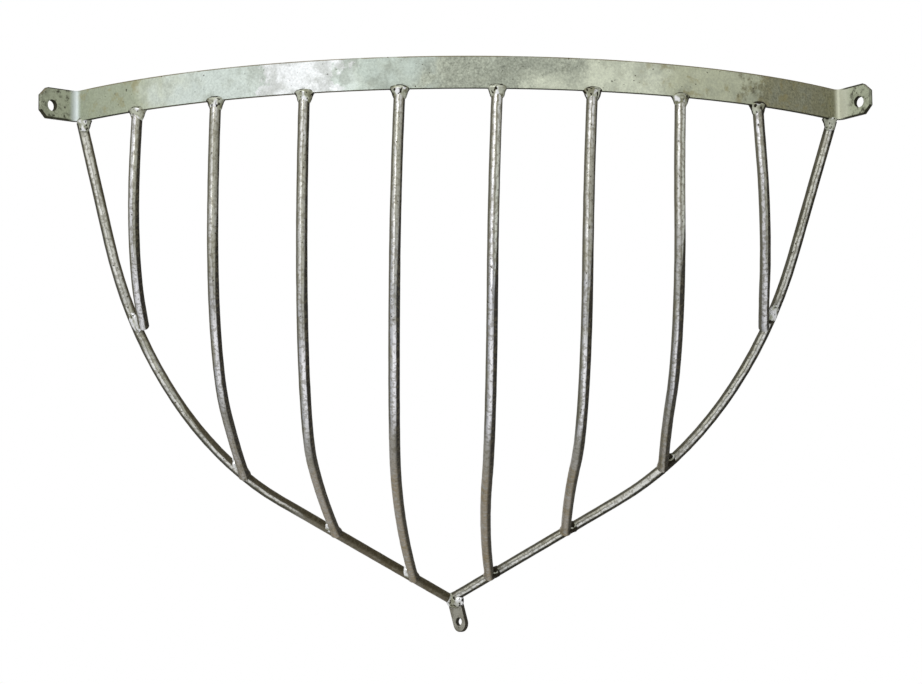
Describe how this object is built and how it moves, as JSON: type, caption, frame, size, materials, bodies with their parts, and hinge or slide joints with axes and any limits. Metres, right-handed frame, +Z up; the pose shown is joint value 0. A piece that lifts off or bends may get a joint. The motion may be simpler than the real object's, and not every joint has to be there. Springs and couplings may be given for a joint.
{
  "type": "corner hay rack",
  "caption": "Welded galvanised round-bar hay basket for a stable corner: a drilled flat band across the front, rods down both walls and a drilled lug at the bottom.",
  "frame": {"origin": "on the line where the two walls meet, level with the middle of the band's height", "axes": "+Z up; the room lies toward -Y; the left wall is the plane X = Y and the right wall is the plane X = -Y, so +X points to the right along the front"},
  "size_m": [0.9157, 0.606, 0.601],
  "materials": {
    "band_zinc": "hot-dip galvanised, satin and mottled",
    "rod_zinc": "hot-dip galvanised, satin",
    "bar_zinc": "hot-dip galvanised, satin",
    "lug_zinc": "hot-dip galvanised, dull",
    "weld_zinc": "hot-dip galvanised weld bead, bright and lumpy"
  },
  "bodies": {
    "root": {"top_band": "band_zinc", "left_side_rod": "rod_zinc", "right_side_rod": "rod_zinc", "upright_bar_1": "bar_zinc", "upright_bar_2": "bar_zinc", "upright_bar_3": "bar_zinc", "upright_bar_4": "bar_zinc", "upright_bar_5": "bar_zinc", "upright_bar_6": "bar_zinc", "upright_bar_7": "bar_zinc", "upright_bar_8": "bar_zinc", "bottom_lug": "lug_zinc", "top_weld_1": "weld_zinc", "top_weld_2": "weld_zinc", "top_weld_3": "weld_zinc", "top_weld_4": "weld_zinc", "top_weld_5": "weld_zinc", "top_weld_6": "weld_zinc", "top_weld_7": "weld_zinc", "top_weld_8": "weld_zinc", "foot_weld_1": "weld_zinc", "foot_weld_2": "weld_zinc", "foot_weld_3": "weld_zinc", "foot_weld_4": "weld_zinc", "foot_weld_5": "weld_zinc", "foot_weld_6": "weld_zinc", "foot_weld_7": "weld_zinc", "foot_weld_8": "weld_zinc", "left_rod_weld": "weld_zinc", "right_rod_weld": "weld_zinc", "apex_weld": "weld_zinc"}
  },
  "joints": []
}
